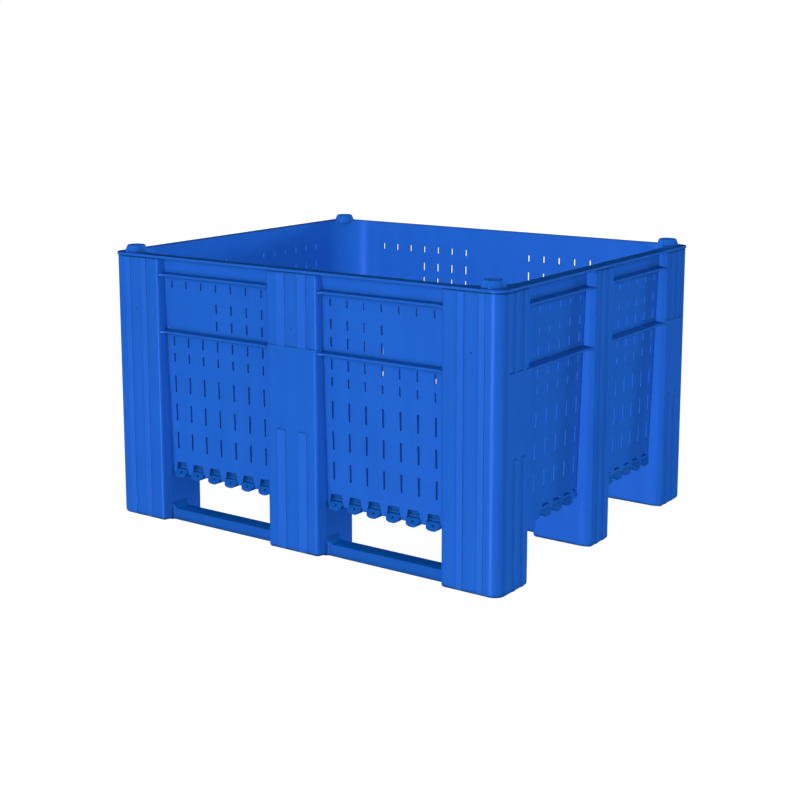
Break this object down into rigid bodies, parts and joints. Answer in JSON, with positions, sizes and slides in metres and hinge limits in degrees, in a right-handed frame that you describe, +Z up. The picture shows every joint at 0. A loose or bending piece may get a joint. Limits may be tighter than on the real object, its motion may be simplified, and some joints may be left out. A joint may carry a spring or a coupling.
{
  "type": "plastic pallet box",
  "caption": "Large stackable plastic pallet box with slotted walls, hollow ribbed posts that end as feet, a rim with stacking lugs, and skids under the feet for fork handling.",
  "frame": {"origin": "on the ground, under the middle of the plan", "axes": "+X along the long side, +Y from the front long side to the rear, +Z up"},
  "size_m": [1.2, 1, 0.73],
  "materials": {
    "tub_plastic": "satin moulded blue polyethylene",
    "skid_plastic": "satin moulded blue polyethylene",
    "screw_steel": "zinc plated"
  },
  "bodies": {
    "root": {"floor_deck": "tub_plastic", "floor_rib_grid": "tub_plastic", "front_wall": "tub_plastic", "rear_wall": "tub_plastic", "left_wall": "tub_plastic", "right_wall": "tub_plastic", "front_left_corner_post": "tub_plastic", "front_right_corner_post": "tub_plastic", "rear_left_corner_post": "tub_plastic", "rear_right_corner_post": "tub_plastic", "front_centre_post": "tub_plastic", "rear_centre_post": "tub_plastic", "left_centre_post": "tub_plastic", "right_centre_post": "tub_plastic", "front_left_corner_foot": "tub_plastic", "front_right_corner_foot": "tub_plastic", "rear_left_corner_foot": "tub_plastic", "rear_right_corner_foot": "tub_plastic", "front_centre_foot": "tub_plastic", "rear_centre_foot": "tub_plastic", "left_centre_foot": "tub_plastic", "right_centre_foot": "tub_plastic", "centre_foot": "tub_plastic", "front_rim_rail": "tub_plastic", "rear_rim_rail": "tub_plastic", "left_rim_rail": "tub_plastic", "right_rim_rail": "tub_plastic", "front_left_stacking_corner": "tub_plastic", "front_right_stacking_corner": "tub_plastic", "rear_left_stacking_corner": "tub_plastic", "rear_right_stacking_corner": "tub_plastic", "front_skid": "skid_plastic", "middle_skid": "skid_plastic", "rear_skid": "skid_plastic", "skid_screws": "screw_steel"}
  },
  "joints": []
}
